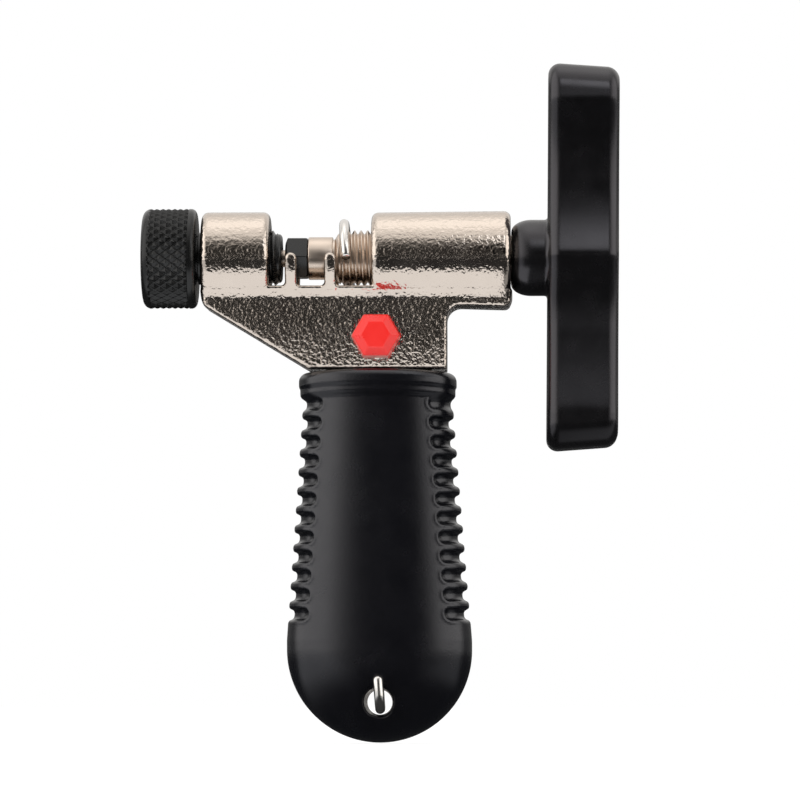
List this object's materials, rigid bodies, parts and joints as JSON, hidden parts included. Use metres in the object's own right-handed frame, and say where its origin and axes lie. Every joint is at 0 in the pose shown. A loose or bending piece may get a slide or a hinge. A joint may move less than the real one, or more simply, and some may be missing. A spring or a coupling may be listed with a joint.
{
  "type": "bicycle chain tool",
  "caption": "Hand-held bicycle chain tool: plated casting with a chain cradle, threaded push pin turned by a T-handle, knurled adjuster, ribbed grip and a stored wire chain hook.",
  "frame": {"origin": "under the grip's lowest point, in the casting's mid-plane, within 0.2 mm of the middle between the T-handle's outer face and the adjuster knob's end", "axes": "+X along the screw line towards the T-handle, +Z from the grip up to the screw line, +Y towards the back, where the hook's long leg lies"},
  "size_m": [0.0926, 0.0258, 0.1316],
  "materials": {
    "nickel_casting": "nickel plated over a grainy die casting, warm tint, polished only along the edges",
    "grip_black": "semi-matte black moulded sleeve",
    "black_steel": "black oxide on turned steel",
    "knob_black": "satin black over diamond knurling",
    "bright_steel": "bright turned steel",
    "handle_black": "gloss black moulding",
    "cap_red": "glossy red plastic",
    "nickel_wire": "bright nickel plated spring wire"
  },
  "bodies": {
    "tool_body": {"body_casting": "nickel_casting", "grip": "grip_black"},
    "spare_pin_set": {"spare_pin_cap": "cap_red", "spare_pin": "bright_steel"},
    "adjuster_sleeve": {"adjuster_screw": "black_steel"},
    "adjuster_wheel": {"adjuster_knob": "knob_black"},
    "push_pin": {"drive_pin": "bright_steel"},
    "drive_spindle": {"drive_screw": "bright_steel", "pin_holder": "black_steel", "t_handle": "handle_black"},
    "hook": {"chain_hook": "nickel_wire"}
  },
  "joints": [
    {"name": "drive_feed", "type": "slide", "parent": "tool_body", "child": "push_pin", "axis": [1, 0, 0], "range_m": [0, 0.01905]},
    {"name": "drive_spin", "type": "hinge", "parent": "push_pin", "child": "drive_spindle", "pos_m": [0, 0, 0.0939], "axis": [1, 0, 0], "range_deg": [0, 5420]},
    {"name": "adjuster_feed", "type": "slide", "parent": "tool_body", "child": "adjuster_sleeve", "axis": [1, 0, 0], "range_m": [-0.00508, 0]},
    {"name": "adjuster_spin", "type": "hinge", "parent": "adjuster_sleeve", "child": "adjuster_wheel", "pos_m": [-0.04, 0, 0.0939], "axis": [1, 0, 0], "range_deg": [-1455, 0]},
    {"name": "cap_pull", "type": "slide", "parent": "tool_body", "child": "spare_pin_set", "axis": [0, -1, 0], "range_m": [0, 0.018]},
    {"name": "hook_lift", "type": "slide", "parent": "tool_body", "child": "hook", "axis": [0, 0, 1], "range_m": [0, 0.0018]}
  ],
  "couplings": [
    {"joint": "drive_spin", "follows": "drive_feed", "rad_per_m": 4947.4},
    {"joint": "adjuster_spin", "follows": "adjuster_feed", "rad_per_m": 4947.4}
  ]
}
